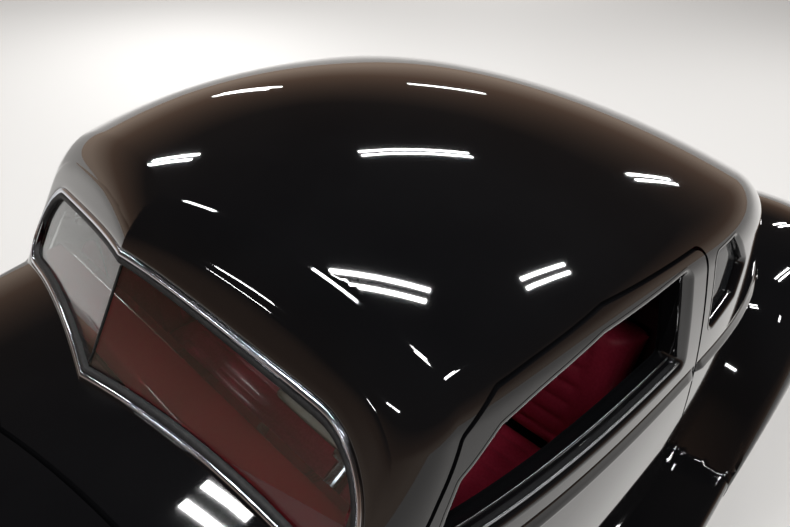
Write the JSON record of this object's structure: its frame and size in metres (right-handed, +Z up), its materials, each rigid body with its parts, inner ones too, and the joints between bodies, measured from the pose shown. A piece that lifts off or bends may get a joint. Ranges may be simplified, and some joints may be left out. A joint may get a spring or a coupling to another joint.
{
  "type": "hot rod",
  "caption": "Chopped two-door coupe hot rod with V windscreen, rounded fenders, running boards, pleated red interior and opening doors, hood and deck lid.",
  "frame": {"origin": "on the ground, under the middle of the car's box", "axes": "+X forward, +Y to the car's left, +Z up"},
  "size_m": [4.494, 1.7366, 1.4043],
  "materials": {
    "body_paint": "deep gloss black",
    "chassis_paint": "satin black",
    "carpet": "short pile",
    "engine_iron": "painted casting",
    "bright_steel": "satin",
    "glass": "clear",
    "dark_glass": "smoked",
    "bright_trim": "polished",
    "lamp_red": "ribbed lens",
    "red_leather": "pleated",
    "dark_plastic": "gloss",
    "tyre": "matt",
    "wheel_metal": "polished"
  },
  "bodies": {
    "chassis": {"cowl": "body_paint", "roof": "body_paint", "quarter_left": "body_paint", "quarter_right": "body_paint", "tail_panel": "body_paint", "nose": "body_paint", "front_fenders": "body_paint", "rear_fenders": "body_paint", "running_boards": "body_paint", "frame": "chassis_paint", "front_suspension": "chassis_paint", "rear_axle": "chassis_paint", "leaf_springs": "chassis_paint", "fuel_tank": "chassis_paint", "floor": "carpet", "rear_shelf": "carpet", "engine": "engine_iron", "gearbox_shaft": "engine_iron", "exhaust": "bright_steel", "windshield": "glass", "rear_glass": "dark_glass", "windshield_trim": "bright_trim", "grille": "bright_trim", "headlamps": "bright_trim", "taillamps": "lamp_red", "seat_base": "red_leather", "seat_back": "red_leather", "seat_frame": "chassis_paint", "dashboard": "red_leather", "steering_column": "chassis_paint"},
    "door_left": {"door_left": "body_paint"},
    "door_right": {"door_right": "body_paint"},
    "hood": {"hood": "body_paint"},
    "deck_lid": {"deck_lid": "body_paint"},
    "steering_wheel": {"steering_wheel": "dark_plastic"},
    "knuckle_left": {"knuckle_left": "chassis_paint"},
    "knuckle_right": {"knuckle_right": "chassis_paint"},
    "road_wheel_front_left": {"tyre_front_left": "tyre", "wheel_front_left": "wheel_metal"},
    "road_wheel_front_right": {"tyre_front_right": "tyre", "wheel_front_right": "wheel_metal"},
    "road_wheel_rear_left": {"tyre_rear_left": "tyre", "wheel_rear_left": "wheel_metal"},
    "road_wheel_rear_right": {"tyre_rear_right": "tyre", "wheel_rear_right": "wheel_metal"}
  },
  "joints": [
    {"name": "door_left_hinge", "type": "hinge", "parent": "chassis", "child": "door_left", "pos_m": [0.267, 0.668, 0.68], "axis": [0, 0, 1], "range_deg": [-65, 0]},
    {"name": "door_right_hinge", "type": "hinge", "parent": "chassis", "child": "door_right", "pos_m": [0.267, -0.668, 0.68], "axis": [0, 0, 1], "range_deg": [0, 65]},
    {"name": "hood_hinge", "type": "hinge", "parent": "chassis", "child": "hood", "pos_m": [0.34, 0, 1], "axis": [0, 1, 0], "range_deg": [-48, 0]},
    {"name": "deck_lid_hinge", "type": "hinge", "parent": "chassis", "child": "deck_lid", "pos_m": [-1.3, 0, 1.02], "axis": [0, 1, 0], "range_deg": [0, 55]},
    {"name": "steering_wheel_turn", "type": "hinge", "parent": "chassis", "child": "steering_wheel", "pos_m": [0.05, 0.33, 0.88], "axis": [-0.9135, 0, 0.4067], "range_deg": [-420, 420]},
    {"name": "steer_left", "type": "hinge", "parent": "chassis", "child": "knuckle_left", "pos_m": [1.48, 0.56, 0.33], "axis": [0, 0, 1], "range_deg": [-28, 28]},
    {"name": "wheel_front_left_spin", "type": "hinge", "parent": "knuckle_left", "child": "road_wheel_front_left", "pos_m": [1.48, 0.69, 0.33], "axis": [0, 1, 0], "continuous": true},
    {"name": "wheel_rear_left_spin", "type": "hinge", "parent": "chassis", "child": "road_wheel_rear_left", "pos_m": [-1.33, 0.704, 0.355], "axis": [0, 1, 0], "continuous": true},
    {"name": "steer_right", "type": "hinge", "parent": "chassis", "child": "knuckle_right", "pos_m": [1.48, -0.56, 0.33], "axis": [0, 0, 1], "range_deg": [-28, 28]},
    {"name": "wheel_front_right_spin", "type": "hinge", "parent": "knuckle_right", "child": "road_wheel_front_right", "pos_m": [1.48, -0.69, 0.33], "axis": [0, 1, 0], "continuous": true},
    {"name": "wheel_rear_right_spin", "type": "hinge", "parent": "chassis", "child": "road_wheel_rear_right", "pos_m": [-1.33, -0.704, 0.355], "axis": [0, 1, 0], "continuous": true}
  ],
  "couplings": [
    {"joint": "steer_left", "follows": "steering_wheel_turn", "ratio": 0.066667},
    {"joint": "steer_right", "follows": "steering_wheel_turn", "ratio": 0.066667}
  ]
}
